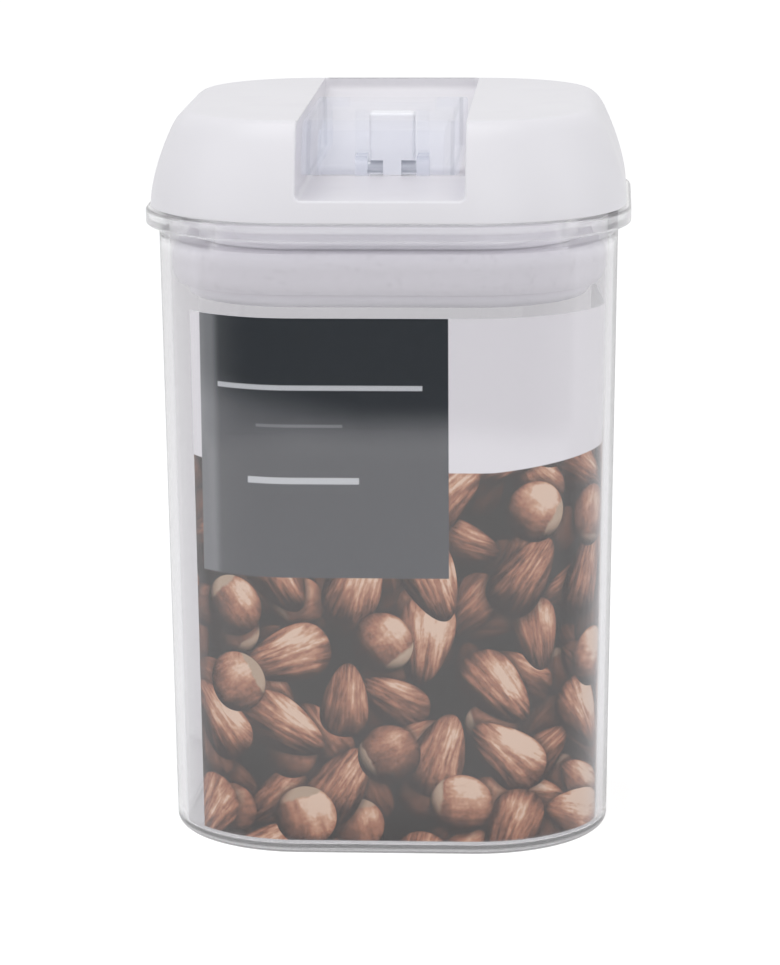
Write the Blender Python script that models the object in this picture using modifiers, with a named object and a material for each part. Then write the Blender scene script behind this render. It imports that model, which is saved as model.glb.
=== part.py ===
"""Airtight storage canister with a lever-locked lid.

A clear square jar holds a printed wrap. The lid is a white cover on a stepped
inner lid. A clear lever turns on a pin through the head of a pull rod. Its cam
ears stand on the floor of the lid's pocket: pressed flat they draw the rod and
the pressure plate up and squeeze the seal ring against the jar wall, and turned
up they let the plate drop by the cam's fall.

Metres, +Z up. The origin is the middle of the jar's base, the lever's grip
points to -Y.
"""
import math

import bmesh
import bpy
from mathutils import Matrix, Vector

# Fits
fit_gap = 0.0003
cut_overrun = 0.010

# Plan of every section: a square with rounded corners round one straight length
flat_half = 0.0173
corner_steps = 8

# Jar
jar_height = 0.1275
jar_base_width = 0.0884
jar_draft = 0.0018
jar_wall = 0.0020
jar_floor = 0.0018
jar_foot_round = 0.0020
jar_inner_round = 0.0005
rim_overhang = 0.0026
rim_depth = 0.0033
rim_round = 0.0006
round_steps = 4

# Printed wrap on the jar's front and right walls
wrap_thickness = 0.0003
wrap_top = 0.1088
wrap_left_turn = math.radians(51)
wrap_side_length = 0.0200

# Lid cover
lid_overhang = 0.0016
lid_height = 0.0191
lid_wall = 0.0018
lid_side_height = 0.0152
lid_side_lean = 0.0043
lid_side_curve_share = 1.65
lid_shoulder_reach = 0.0042
side_steps = 5
shoulder_steps = 6

# Pocket in the cover for the lever
pocket_side_gap = 0.0011
pocket_wall = 0.0016
pocket_round = 0.0019
pocket_round_steps = 3
shelf_rise = 0.0044
well_front = 0.0090
raised_lever_gap = 0.0023
ramp_foot_rise = 0.0020
pocket_back_margin = 0.0003
pocket_lip = 0.0023

# Inner lid
neck_step = 0.0052
neck_bottom_drop = 0.0060
mouth_gap = 0.0008
mouth_band = 0.0022
inner_lid_wall = 0.0016
inner_lid_floor = 0.0018
spigot_height = 0.0021
edge_chamfer = 0.0006

# Seal ring
seal_wall_gap = 0.0004
seal_height = 0.0081
seal_seat = 0.0040
seal_bulge = 0.0012
seal_steps = 6

# Pressure plate
plate_wall_gap = 0.00325
plate_edge_depth = 0.0026
plate_floor = 0.0018
plate_round = 0.0022
plate_rim_height = 0.0059
plate_rim_wall = 0.0016

# Pull rod
rod_width = 0.0092
rod_depth = 0.0052
rod_edge = 0.0005
rod_neck_width = 0.0037
rod_neck_below_pin = 0.0017
rod_neck_above_pin = 0.0016
rod_head_gap = 0.0008
rod_foot_half = 0.0080
rod_foot_thickness = 0.0013

# Pivot pin
pin_above_rim = 0.0054
pin_radius = 0.00125
pin_end_inset = 0.0002
pin_chamfer = 0.0002
pin_sides = 24

# Lever
lever_half = 0.0153
lever_wall = 0.0020
lever_side_wall = 0.0030
lever_lip_rise = 0.0092
lever_back_lean = 0.0003
ear_rod_gap = 0.0004
ear_thickness = 0.0025
ear_front = 0.0034
cam_radius = 0.00415
cam_fall_per_radian = 0.0010
lever_swing = math.radians(90)
cam_steps = 8

# Places worked out from the sizes above
jar_base_half = jar_base_width / 2
jar_top_half = jar_base_half + jar_draft
rim_half = jar_top_half + rim_overhang
mouth_half = jar_top_half - jar_wall
lid_half = jar_top_half + lid_overhang
lid_top_half = lid_half - lid_side_lean - lid_shoulder_reach
lid_base_z = jar_height + fit_gap
lid_top_z = lid_base_z + lid_height
pin_z = jar_height + pin_above_rim
well_floor_z = pin_z - cam_radius - fit_gap
well_back = lid_top_z - pin_z + raised_lever_gap
pocket_half = lever_half + pocket_side_gap
pocket_back = lid_top_half - pocket_back_margin
shelf_z = lid_base_z + shelf_rise
lever_lip_z = lid_base_z + lever_lip_rise
cam_fall = cam_fall_per_radian * lever_swing
lever_back = cam_radius - cam_fall
ear_inner_half = rod_width / 2 + ear_rod_gap
pin_half_length = ear_inner_half + ear_thickness - pin_end_inset
rod_head_z = lid_top_z - lever_wall - rod_head_gap
band_half = mouth_half - mouth_gap
neck_half = band_half - neck_step
seal_inner_half = neck_half - seal_seat
neck_bottom_z = jar_height - neck_bottom_drop
seal_top_z = neck_bottom_z - fit_gap
seal_bottom_z = seal_top_z - seal_height
plate_top_z = seal_bottom_z - fit_gap
plate_bottom_z = plate_top_z - plate_edge_depth
rod_foot_top_z = plate_bottom_z - fit_gap


def clear_scene():
    """Remove every object that the file opens with."""
    for old in list(bpy.data.objects):
        bpy.data.objects.remove(old, do_unlink=True)


def new_collection(name):
    """Make a collection in the scene and return it."""
    group = bpy.data.collections.new(name)
    bpy.context.scene.collection.children.link(group)
    return group


clear_scene()
pieces = new_collection("airtight_storage_container")
cutters = new_collection("cutters")


def plastic(name, colour, roughness, alpha=1.0, metallic=0.0):
    """Return a plain Principled material in a piece's own colour."""
    finish = bpy.data.materials.new(name)
    finish.use_nodes = True
    shader = finish.node_tree.nodes["Principled BSDF"]
    shader.inputs["Base Color"].default_value = (*colour, 1.0)
    shader.inputs["Roughness"].default_value = roughness
    shader.inputs["Metallic"].default_value = metallic
    shader.inputs["Alpha"].default_value = alpha
    return finish


def finish_piece(piece, finish):
    """Give a piece its material and smooth shading with crisp corners."""
    piece.data.materials.clear()
    piece.data.materials.append(finish)
    piece.data.shade_smooth()
    piece.data.set_sharp_from_angle(angle=math.radians(35))


def place(name, mesh, group=pieces):
    """Put a mesh in the scene as an object of its own."""
    item = bpy.data.objects.new(name, mesh)
    group.objects.link(item)
    if group is cutters:
        item.hide_render = True
        item.display_type = "WIRE"
    return item


def to_mesh(builder, name):
    """Turn a bmesh whose faces point out into a mesh."""
    bmesh.ops.recalc_face_normals(builder, faces=builder.faces)
    mesh = bpy.data.meshes.new(name)
    builder.to_mesh(mesh)
    builder.free()
    return mesh


def plan_points(half):
    """Return the plan of a section that reaches half from the middle."""
    radius = half - flat_half
    points = []
    for quarter in range(4):
        turn = Matrix.Rotation(quarter * math.pi / 2, 2)
        for step in range(corner_steps + 1):
            angle = step / corner_steps * math.pi / 2
            corner = Vector((flat_half + radius * math.cos(angle), flat_half + radius * math.sin(angle)))
            points.append(turn @ corner)
    return points


def loft(name, stations, ring=False, group=pieces):
    """Join sections, each a half width and a height, into one closed body.

    A ring closes on its first section, any other body gets flat ends.
    """
    builder = bmesh.new()
    loops = []
    for half, height in stations:
        loops.append([builder.verts.new((x, y, height)) for x, y in plan_points(half)])
    pairs = list(zip(loops, loops[1:]))
    if ring:
        pairs.append((loops[-1], loops[0]))
    else:
        builder.faces.new(loops[0])
        builder.faces.new(loops[-1])
    for below, above in pairs:
        for index in range(len(below)):
            after = (index + 1) % len(below)
            builder.faces.new((below[index], below[after], above[after], above[index]))
    return place(name, to_mesh(builder, name), group)


def arc(centre_half, centre_z, radius, start, end, steps=round_steps):
    """Return stations along an arc, its angles in degrees from level."""
    stations = []
    for step in range(steps + 1):
        angle = math.radians(start + (end - start) * step / steps)
        stations.append((centre_half + radius * math.cos(angle), centre_z + radius * math.sin(angle)))
    return stations


def block(name, low, high, edge=0.0, group=cutters):
    """Return a box between two corners, its edges rounded by edge."""
    bpy.ops.mesh.primitive_cube_add(size=1)
    box = bpy.context.active_object
    box.name = name
    for collection in list(box.users_collection):
        collection.objects.unlink(box)
    group.objects.link(box)
    low, high = Vector(low), Vector(high)
    middle = Matrix.Translation((low + high) / 2)
    box.data.transform(middle @ Matrix.Diagonal((*(high - low), 1)))
    if edge:
        soften(box, edge)
    if group is cutters:
        box.hide_render = True
        box.display_type = "WIRE"
    return box


def soften(piece, width, segments=2):
    """Round a piece's sharp edges."""
    bevel = piece.modifiers.new("rounded_edges", "BEVEL")
    bevel.width = width
    bevel.segments = segments
    bevel.limit_method = "ANGLE"
    bevel.angle_limit = math.radians(30)


def side_profile(name, outline, half_width, group=cutters):
    """Return a slab across X from an outline of Y and Z points."""
    curve = bpy.data.curves.new(name, "CURVE")
    curve.dimensions = "2D"
    curve.fill_mode = "BOTH"
    curve.extrude = half_width
    spline = curve.splines.new("POLY")
    spline.points.add(len(outline) - 1)
    spline.use_cyclic_u = True
    for point, (y, z) in zip(spline.points, outline):
        point.co = (y, z, 0, 1)
    drawn = bpy.data.objects.new(name + "_outline", curve)
    bpy.context.scene.collection.objects.link(drawn)
    drawn.matrix_world = Matrix(((0, 0, 1, 0), (1, 0, 0, 0), (0, 1, 0, 0), (0, 0, 0, 1)))
    bpy.context.view_layer.update()
    graph = bpy.context.evaluated_depsgraph_get()
    mesh = bpy.data.meshes.new_from_object(drawn.evaluated_get(graph))
    mesh.transform(drawn.matrix_world)
    bpy.data.objects.remove(drawn, do_unlink=True)
    builder = bmesh.new()
    builder.from_mesh(mesh)
    bmesh.ops.remove_doubles(builder, verts=builder.verts, dist=1e-7)
    bmesh.ops.dissolve_limit(
        builder, angle_limit=math.radians(1), verts=builder.verts, edges=builder.edges
    )
    return place(name, to_mesh(builder, name), group)


def boolean(piece, operation, tool):
    """Cut, join or intersect a piece with another, exactly."""
    step = piece.modifiers.new(operation.lower() + "_" + tool.name, "BOOLEAN")
    step.operation = operation
    step.solver = "EXACT"
    step.object = tool


def rod_along_x(name, radius, half_length, group=cutters):
    """Return a round bar on the pivot's axis."""
    bpy.ops.mesh.primitive_cylinder_add(vertices=pin_sides, radius=radius, depth=2 * half_length)
    bar = bpy.context.active_object
    bar.name = name
    for collection in list(bar.users_collection):
        collection.objects.unlink(bar)
    group.objects.link(bar)
    bar.data.transform(Matrix.Rotation(math.pi / 2, 4, "Y"))
    bar.location = (0, 0, pin_z)
    if group is cutters:
        bar.hide_render = True
        bar.display_type = "WIRE"
    return bar


# Jar


def jar_outer_half(height):
    """Return the jar's outer half width at a height, on its draft."""
    return jar_base_half + (jar_top_half - jar_base_half) * height / jar_height


def jar_inner_half(height):
    """Return the jar's inner half width at a height."""
    return jar_outer_half(height) - jar_wall


def make_jar():
    """Build the clear jar, its foot rounded and its rim turned out."""
    rim_under = jar_height - rim_depth
    stations = arc(jar_outer_half(jar_foot_round) - jar_foot_round, jar_foot_round, jar_foot_round, -90, 0)
    stations.append((jar_outer_half(rim_under), rim_under))
    stations += arc(rim_half - rim_round, rim_under + rim_round, rim_round, -90, 0, 2)
    stations += arc(rim_half - rim_round, jar_height - rim_round, rim_round, 0, 90, 2)
    stations += arc(jar_inner_half(jar_height) + rim_round, jar_height - rim_round, rim_round, 90, 180, 2)
    inner_foot = jar_floor + jar_inner_round
    stations += arc(jar_inner_half(inner_foot) - jar_inner_round, inner_foot, jar_inner_round, 0, -90)
    return loft("jar_body", stations)


def make_wrap():
    """Build the printed wrap that stands against the front and right walls."""
    bottom = jar_floor + jar_inner_round + fit_gap
    builder = bmesh.new()
    rows = []
    for height in (bottom, wrap_top):
        half = jar_inner_half(height) - fit_gap
        radius = half - flat_half
        points = []
        for step in range(corner_steps + 1):
            angle = -math.pi / 2 - wrap_left_turn * (1 - step / corner_steps)
            points.append((radius * math.cos(angle) - flat_half, radius * math.sin(angle) - flat_half))
        for step in range(corner_steps + 1):
            angle = -math.pi / 2 * (1 - step / corner_steps)
            points.append((radius * math.cos(angle) + flat_half, radius * math.sin(angle) - flat_half))
        points.append((half, wrap_side_length))
        rows.append([builder.verts.new((x, y, height)) for x, y in points])
    for index in range(len(rows[0]) - 1):
        builder.faces.new((rows[0][index], rows[0][index + 1], rows[1][index + 1], rows[1][index]))
    mesh = bpy.data.meshes.new("label_insert")
    builder.to_mesh(mesh)
    builder.free()
    wrap = place("label_insert", mesh)
    wall = wrap.modifiers.new("card", "SOLIDIFY")
    wall.thickness = wrap_thickness
    wall.offset = -1
    wall.use_even_offset = True
    return wrap


# Lid cover


def lid_profile():
    """Return the cover's outer side and shoulder, from its edge to its flat top."""
    points = []
    for step in range(side_steps + 1):
        share = step / side_steps
        lean = lid_side_lean * share**lid_side_curve_share
        points.append((lid_half - lean, lid_base_z + lid_side_height * share))
    side_half, side_z = points[-1]
    slope = lid_side_curve_share * lid_side_lean / lid_side_height
    reach = side_half - lid_top_half
    rise = lid_top_z - side_z
    start = math.asin(slope / (reach / rise - slope))
    across = reach / math.cos(start)
    up = rise / (1 - math.sin(start))
    for step in range(1, shoulder_steps + 1):
        angle = start + (math.pi / 2 - start) * step / shoulder_steps
        half = lid_top_half + across * math.cos(angle)
        points.append((half, lid_top_z - up + up * math.sin(angle)))
    return points


def inset_profile(points, depth):
    """Return the profile moved in by depth, square to its surface."""
    moved = []
    for index, (half, height) in enumerate(points):
        before = points[max(index - 1, 0)]
        after = points[min(index + 1, len(points) - 1)]
        run = Vector((after[0] - before[0], after[1] - before[1])).normalized()
        if index == len(points) - 1:
            run = Vector((-1, 0))
        moved.append((half - depth * run.y, height + depth * run.x))
    return moved


def lid_body(name, depth=0.0, group=cutters):
    """Return the cover's whole outer form as a solid, moved in by depth."""
    points = inset_profile(lid_profile(), depth) if depth else lid_profile()
    if depth:
        points.insert(0, (points[0][0], lid_base_z - cut_overrun))
    return loft(name, points, group=group)


def lid_inner_half(height):
    """Return the half width of the cover's hollow near its edge."""
    points = inset_profile(lid_profile(), lid_wall)
    for (half, low), (next_half, high) in zip(points, points[1:]):
        if height <= high:
            return half + (next_half - half) * (height - low) / (high - low)
    return points[-1][0]


def pocket_outline(grow=0.0):
    """Return the pocket in side view, its floor and walls moved out by grow."""
    ramp_foot = (well_back + grow, well_floor_z + ramp_foot_rise - grow)
    ramp_head = (pocket_back + grow, lid_top_z - pocket_lip - grow)
    return [
        (-rim_half - cut_overrun, shelf_z - grow),
        (-well_front - grow, shelf_z - grow),
        (-well_front - grow, well_floor_z - grow),
        (well_back + grow, well_floor_z - grow),
        ramp_foot,
        ramp_head,
        (pocket_back + grow, lid_top_z + cut_overrun),
        (-rim_half - cut_overrun, lid_top_z + cut_overrun),
    ]


def rod_way(name, low, high):
    """Return the square hole that guides the rod between two heights."""
    half_width = rod_width / 2 + fit_gap
    half_depth = rod_depth / 2 + fit_gap
    return block(name, (-half_width, -half_depth, low), (half_width, half_depth, high))


def make_lid_shell():
    """Build the white cover with its lever pocket."""
    cover = lid_body("lid_shell", group=pieces)
    hollow = lid_body("lid_hollow", lid_wall)
    tub = side_profile("pocket_tub", pocket_outline(pocket_wall), pocket_half + pocket_wall)
    boolean(hollow, "DIFFERENCE", tub)
    boolean(cover, "DIFFERENCE", hollow)
    well_half = pocket_half + pocket_wall
    well_low = (-well_half, -well_front - pocket_wall, well_floor_z - pocket_wall)
    well_high = (well_half, well_back + pocket_wall, well_floor_z + pocket_wall / 2)
    boolean(cover, "UNION", block("well_base", well_low, well_high))
    pocket = side_profile("pocket_space", pocket_outline(), pocket_half)
    soften(pocket, pocket_round, pocket_round_steps)
    boolean(cover, "DIFFERENCE", pocket)
    way = rod_way("rod_way_cover", well_floor_z - cut_overrun, well_floor_z + cut_overrun)
    boolean(cover, "DIFFERENCE", way)
    return cover


def make_inner_lid():
    """Build the stepped inner lid that closes the cover and carries the seal."""
    band_bottom = jar_height - mouth_band
    spigot_top = lid_base_z + spigot_height
    spigot_half = lid_inner_half(spigot_top) - fit_gap
    stations = [
        (neck_half - edge_chamfer, neck_bottom_z),
        (neck_half, neck_bottom_z + edge_chamfer),
        (neck_half, band_bottom),
        (band_half - edge_chamfer, band_bottom),
        (band_half, band_bottom + edge_chamfer),
        (band_half, lid_base_z),
        (spigot_half, lid_base_z),
        (spigot_half, spigot_top - edge_chamfer),
        (spigot_half - edge_chamfer, spigot_top),
        (spigot_half - inner_lid_wall, spigot_top),
        (band_half - inner_lid_wall, lid_base_z + edge_chamfer),
        (band_half - inner_lid_wall, band_bottom + inner_lid_wall),
        (neck_half - inner_lid_wall, band_bottom + inner_lid_wall),
        (neck_half - inner_lid_wall, neck_bottom_z + inner_lid_floor),
    ]
    tray = loft("inner_lid", stations)
    way = rod_way("rod_way_inner", neck_bottom_z - cut_overrun / 2, neck_bottom_z + cut_overrun / 2)
    boolean(tray, "DIFFERENCE", way)
    return tray


def make_gasket():
    """Build the seal ring, bulged out as the closed lever squeezes it."""
    half = jar_inner_half(seal_bottom_z) - seal_wall_gap
    stations = []
    for step in range(seal_steps + 1):
        share = step / seal_steps
        swell = 1 - abs(2 * share - 1) ** 3
        stations.append((half - seal_bulge * (1 - swell), seal_bottom_z + seal_height * share))
    stations.append((seal_inner_half, seal_top_z))
    stations.append((seal_inner_half, seal_bottom_z))
    return loft("gasket", stations, ring=True)


def make_plate():
    """Build the dished pressure plate under the seal ring."""
    plate_half = jar_inner_half(plate_bottom_z) - plate_wall_gap
    rim_outer = seal_inner_half - fit_gap
    rim_top = plate_top_z + plate_rim_height
    stations = arc(plate_half - plate_round, plate_bottom_z + plate_round, plate_round, -90, 0)
    stations += [
        (plate_half, plate_top_z),
        (rim_outer, plate_top_z),
        (rim_outer, rim_top - edge_chamfer),
        (rim_outer - edge_chamfer, rim_top),
        (rim_outer - plate_rim_wall, rim_top),
        (rim_outer - plate_rim_wall, plate_bottom_z + plate_floor),
    ]
    dish = loft("pressure_plate", stations)
    way = rod_way("rod_way_plate", plate_bottom_z - cut_overrun / 2, plate_bottom_z + cut_overrun / 2)
    boolean(dish, "DIFFERENCE", way)
    return dish


def make_rod():
    """Build the pull rod: foot, square stem, waisted neck and head."""
    stem_low = (-rod_width / 2, -rod_depth / 2, rod_foot_top_z - rod_foot_thickness)
    stem_high = (rod_width / 2, rod_depth / 2, rod_head_z)
    rod = block("pull_rod", stem_low, stem_high, rod_edge, group=pieces)
    foot_low = (-rod_foot_half, -rod_foot_half, rod_foot_top_z - rod_foot_thickness)
    foot_high = (rod_foot_half, rod_foot_half, rod_foot_top_z)
    boolean(rod, "UNION", block("rod_foot", foot_low, foot_high, rod_edge))
    for side in (-1, 1):
        ends = sorted((side * rod_neck_width / 2, side * (rod_width / 2 + cut_overrun)))
        low = (ends[0], -rod_depth / 2 - cut_overrun, pin_z - rod_neck_below_pin)
        high = (ends[1], rod_depth / 2 + cut_overrun, pin_z + rod_neck_above_pin)
        name = "neck_cut_left" if side < 0 else "neck_cut_right"
        boolean(rod, "DIFFERENCE", block(name, low, high))
    bore = rod_along_x("rod_bore", pin_radius + fit_gap, rod_neck_width)
    boolean(rod, "DIFFERENCE", bore)
    return rod


def make_pin():
    """Build the steel pin, its origin on its own axis."""
    pin = rod_along_x("pivot_pin", pin_radius, pin_half_length, group=pieces)
    soften(pin, pin_chamfer, 1)
    return pin


def ear_outline():
    """Return an ear in side view: the cam's foot, its front and back edges."""
    points = []
    for step in range(cam_steps + 1):
        angle = lever_swing * step / cam_steps
        reach = cam_radius - cam_fall_per_radian * angle
        y = reach * math.sin(angle) - cam_fall_per_radian * math.cos(angle)
        z = -reach * math.cos(angle) - cam_fall_per_radian * math.sin(angle)
        points.append((y, pin_z + z))
    ear_top = lid_top_z - lever_wall / 2
    points.append((lever_back - lever_back_lean, ear_top))
    points.append((-ear_front, ear_top))
    points.append((-ear_front, pin_z - cam_radius + ear_front / 2))
    return points


def make_lever():
    """Build the clear lever, its origin on the pivot's axis."""
    lever = lid_body("lever", group=pieces)
    reach = rim_half + cut_overrun
    back = lever_back - lever_back_lean
    keep = block("lever_outer", (-lever_half, -reach, lever_lip_z), (lever_half, back, lid_top_z + cut_overrun))
    boolean(lever, "INTERSECT", keep)
    hollow = lid_body("lever_hollow", lever_wall)
    hollow_half = lever_half - lever_side_wall
    space_low = (-hollow_half, -reach, lid_base_z - cut_overrun)
    space_high = (hollow_half, back + cut_overrun, lid_top_z + cut_overrun)
    boolean(hollow, "INTERSECT", block("lever_inner", space_low, space_high))
    boolean(lever, "DIFFERENCE", hollow)
    for side in (-1, 1):
        name = "ear_left" if side < 0 else "ear_right"
        ear = side_profile(name, ear_outline(), ear_thickness / 2)
        ear.location.x = side * (ear_inner_half + ear_thickness / 2)
        boolean(lever, "UNION", ear)
    bore = rod_along_x("lever_bore", pin_radius + fit_gap, ear_inner_half + ear_thickness + fit_gap)
    boolean(lever, "DIFFERENCE", bore)
    return lever


def origin_to(piece, point):
    """Move a piece's origin to a point and leave the piece where it is."""
    piece.data.transform(Matrix.Translation(-Vector(point)))
    piece.location = point


def build():
    """Build every piece and give it its colour."""
    clear = plastic("clear_acrylic", (0.86, 0.88, 0.91), 0.08, alpha=0.25)
    white = plastic("white_plastic", (0.80, 0.79, 0.82), 0.35)
    inner_white = plastic("inner_white_plastic", (0.72, 0.71, 0.74), 0.45)
    silicone = plastic("white_silicone", (0.70, 0.69, 0.72), 0.60)
    steel = plastic("pin_steel", (0.45, 0.45, 0.47), 0.30, metallic=1.0)
    card = plastic("printed_card", (0.20, 0.15, 0.13), 0.50)
    frosted = plastic("clear_blue_acrylic", (0.78, 0.83, 0.90), 0.12, alpha=0.45)
    finish_piece(make_jar(), clear)
    finish_piece(make_wrap(), card)
    finish_piece(make_lid_shell(), white)
    finish_piece(make_inner_lid(), inner_white)
    finish_piece(make_gasket(), silicone)
    finish_piece(make_plate(), inner_white)
    finish_piece(make_rod(), white)
    finish_piece(make_pin(), steel)
    lever = make_lever()
    finish_piece(lever, frosted)
    origin_to(lever, (0, 0, pin_z))


build()
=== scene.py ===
"""Looks of the airtight storage canister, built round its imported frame.

The jar with its printed wrap, the cover with the inner lid, the seal with its
plate, and the lever with its pin and rod each have a class that models their
pieces and gives them their finish.
"""
from __future__ import annotations

import logging
import math
from collections.abc import Callable
from dataclasses import dataclass
from enum import Enum
from functools import partialmethod, reduce

import bmesh
import bpy
from mathutils import Matrix, Vector


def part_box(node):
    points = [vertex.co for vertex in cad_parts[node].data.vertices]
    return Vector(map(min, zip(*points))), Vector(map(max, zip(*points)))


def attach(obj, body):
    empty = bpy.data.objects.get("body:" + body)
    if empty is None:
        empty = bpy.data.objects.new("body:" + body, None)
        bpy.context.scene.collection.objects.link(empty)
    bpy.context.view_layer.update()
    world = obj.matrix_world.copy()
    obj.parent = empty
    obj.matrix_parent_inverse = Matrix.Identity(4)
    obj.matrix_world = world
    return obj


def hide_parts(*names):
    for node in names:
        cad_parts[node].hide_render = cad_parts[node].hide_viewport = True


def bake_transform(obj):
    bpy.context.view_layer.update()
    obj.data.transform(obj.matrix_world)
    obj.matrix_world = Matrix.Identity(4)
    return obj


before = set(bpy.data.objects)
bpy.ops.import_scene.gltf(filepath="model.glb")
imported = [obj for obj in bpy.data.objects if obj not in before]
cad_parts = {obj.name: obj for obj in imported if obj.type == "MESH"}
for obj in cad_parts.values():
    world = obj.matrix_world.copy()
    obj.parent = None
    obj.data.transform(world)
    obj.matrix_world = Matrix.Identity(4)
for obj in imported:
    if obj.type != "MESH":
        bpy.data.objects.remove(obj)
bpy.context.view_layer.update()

logging.basicConfig(level=logging.INFO, format="%(name)s: %(message)s")
log = logging.getLogger("canister")

Point = tuple[float, float]
Triple = tuple[float, float, float]
Colour = Triple
# Where a smooth step lies, and half its width
Step = Point
Piece = bpy.types.Object
Socket = bpy.types.NodeSocket

# The plan of every section is a square with rounded corners round this straight half length
FLAT_HALF = 0.0173
SPIN_STEPS = 20
QUARTER = math.pi / 2
GAP = 0.0003
OVERRUN = 0.010
MERGE = 1e-6
SLIVER = 1e-5
SMOOTH_ANGLE = math.radians(32)
RIM_ANGLE = math.radians(50)
FINE_RELIEF = 0.00001
NOISE_ROUGHNESS = 0.55


class Body(Enum):
    """The bodies of the frame that pieces ride on."""

    JAR = "jar"
    LID = "lid"
    ROD = "rod"
    LEVER = "lever"


class Slot(Enum):
    """The record's material slots."""

    JAR = "clear_jar"
    WRAP = "printed_wrap"
    COVER = "white_cover"
    INNER = "white_inner"
    SEAL = "silicone"
    PIN = "steel_pin"
    LEVER = "clear_lever"


# Node trees


class Value:
    """A number in a material's nodes that Python's operators combine."""

    def __init__(self, board: NodeBoard, socket: Socket) -> None:
        """Wrap an output that carries a number, on the board that holds its node."""
        self.board = board
        self.socket = socket

    def math(self, operation: str, *others: Value | float) -> Value:
        """Return the result of a Math node fed by this value and then the others."""
        return self.board.value("ShaderNodeMath", dict(enumerate((self, *others))), operation=operation)

    __add__ = __radd__ = partialmethod(math, "ADD")
    __sub__ = partialmethod(math, "SUBTRACT")
    __mul__ = __rmul__ = partialmethod(math, "MULTIPLY")
    __truediv__ = partialmethod(math, "DIVIDE")

    def __rsub__(self, other: float) -> Value:
        """Return a number less this value."""
        return self * -1.0 + other

    def most(self, other: Value | float = 0.0) -> Value:
        """Return the larger of this value and another."""
        return self.math("MAXIMUM", other)

    def above(self, edge: float, blur: float) -> Value:
        """Return 1 past an edge and 0 before it, where blur is half the width of the step."""
        inputs = {"Value": self, "From Min": edge - blur, "From Max": edge + blur}
        return self.board.value("ShaderNodeMapRange", inputs, interpolation_type="SMOOTHSTEP")

    def below(self, edge: float, blur: float) -> Value:
        """Return 1 before an edge and 0 past it."""
        return 1.0 - self.above(edge, blur)

    def between(self, low: float, high: float, blur: float) -> Value:
        """Return 1 between two edges and 0 elsewhere."""
        return self.above(low, blur) * self.below(high, blur)

    def near(self, middle: float, reach: float, blur: float) -> Value:
        """Return 1 within a reach of a middle and 0 elsewhere."""
        return self.between(middle - reach, middle + reach, blur)


class NodeBoard:
    """A node tree and the ways of adding to it."""

    def __init__(self, tree: bpy.types.NodeTree) -> None:
        """Take over a tree and empty it."""
        self.tree = tree
        self.tree.nodes.clear()

    def node(self, kind: str, inputs: dict | None = None, **settings: object) -> bpy.types.Node:
        """Add a node, and set its settings and then its inputs.

        Args:
            kind: The node's type.
            inputs: The value or link of each input, by name or number.
            settings: The node's own settings. A ramp's are its stops.

        Returns:
            The new node.
        """
        made = self.tree.nodes.new(kind)
        for key, setting in settings.items():
            if key == "stops":
                self.set_stops(made.color_ramp.elements, setting)
            else:
                setattr(made, key, setting)
        for key, given in (inputs or {}).items():
            self.feed(made.inputs[key], given)
        return made

    def out(self, kind: str, inputs: dict | None = None, **settings: object) -> Socket:
        """Add a node and return its first output."""
        return self.node(kind, inputs, **settings).outputs[0]

    def value(self, kind: str, inputs: dict | None = None, **settings: object) -> Value:
        """Add a node and return its first output as a value."""
        return Value(self, self.out(kind, inputs, **settings))

    @staticmethod
    def set_stops(elements: bpy.types.ColorRampElements, stops: tuple[tuple[float, Colour], ...]) -> None:
        """Set a ramp's stops.

        Args:
            elements: The ramp's elements.
            stops: The place and colour of each.
        """
        while len(elements) < len(stops):
            elements.new(1.0)
        for element, (place, colour) in zip(elements, stops):
            element.position = place
            element.color = (*colour, 1.0)

    def feed(self, socket: Socket, given: object) -> None:
        """Set an input, or link it.

        Args:
            socket: The input.
            given: A number, a tuple, a value or another node's output.
        """
        if isinstance(given, Value):
            given = given.socket
        if isinstance(given, Socket):
            self.tree.links.new(given, socket)
        elif socket.type == "RGBA":
            socket.default_value = (*given, 1.0)
        else:
            socket.default_value = given

    def vector(self, operation: str, *parts: object) -> Socket:
        """Return the vector that a Vector Math node makes of its parts."""
        return self.out("ShaderNodeVectorMath", dict(enumerate(parts)), operation=operation)

    def combine(self, *numbers: object) -> Socket:
        """Make a vector of three numbers."""
        return self.out("ShaderNodeCombineXYZ", dict(enumerate(numbers)))

    def split(self, vector: Socket) -> list[Value]:
        """Return the three numbers of a vector."""
        return [Value(self, part) for part in self.node("ShaderNodeSeparateXYZ", {0: vector}).outputs]

    def turn(self, vector: Socket, angle: Value) -> Socket:
        """Turn a vector about Z."""
        return self.out("ShaderNodeVectorRotate", {"Vector": vector, "Angle": angle}, rotation_type="Z_AXIS")

    def choose(self, factor: Value, first: Socket, second: Socket) -> Socket:
        """Return the first vector where the factor is 0, and the second where it is 1."""
        return self.node("ShaderNodeMix", {0: factor, 4: first, 5: second}, data_type="VECTOR").outputs[1]

    def mix(self, factor: Value, first: object, second: object) -> Socket:
        """Return the first colour where the factor is 0, and the second where it is 1."""
        return self.node("ShaderNodeMix", {0: factor, 6: first, 7: second}, data_type="RGBA").outputs[2]

    def mix_shaders(self, factor: Value, first: Socket, second: Socket) -> Socket:
        """Return the first shader where the factor is 0, and the second where it is 1."""
        return self.out("ShaderNodeMixShader", {0: factor, 1: first, 2: second})

    def seen_by(self, *rays: str) -> Value:
        """Return 1 for these kinds of ray and 0 for all others."""
        path = self.node("ShaderNodeLightPath").outputs
        return reduce(Value.most, [Value(self, path[f"Is {ray} Ray"]) for ray in rays])


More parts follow.
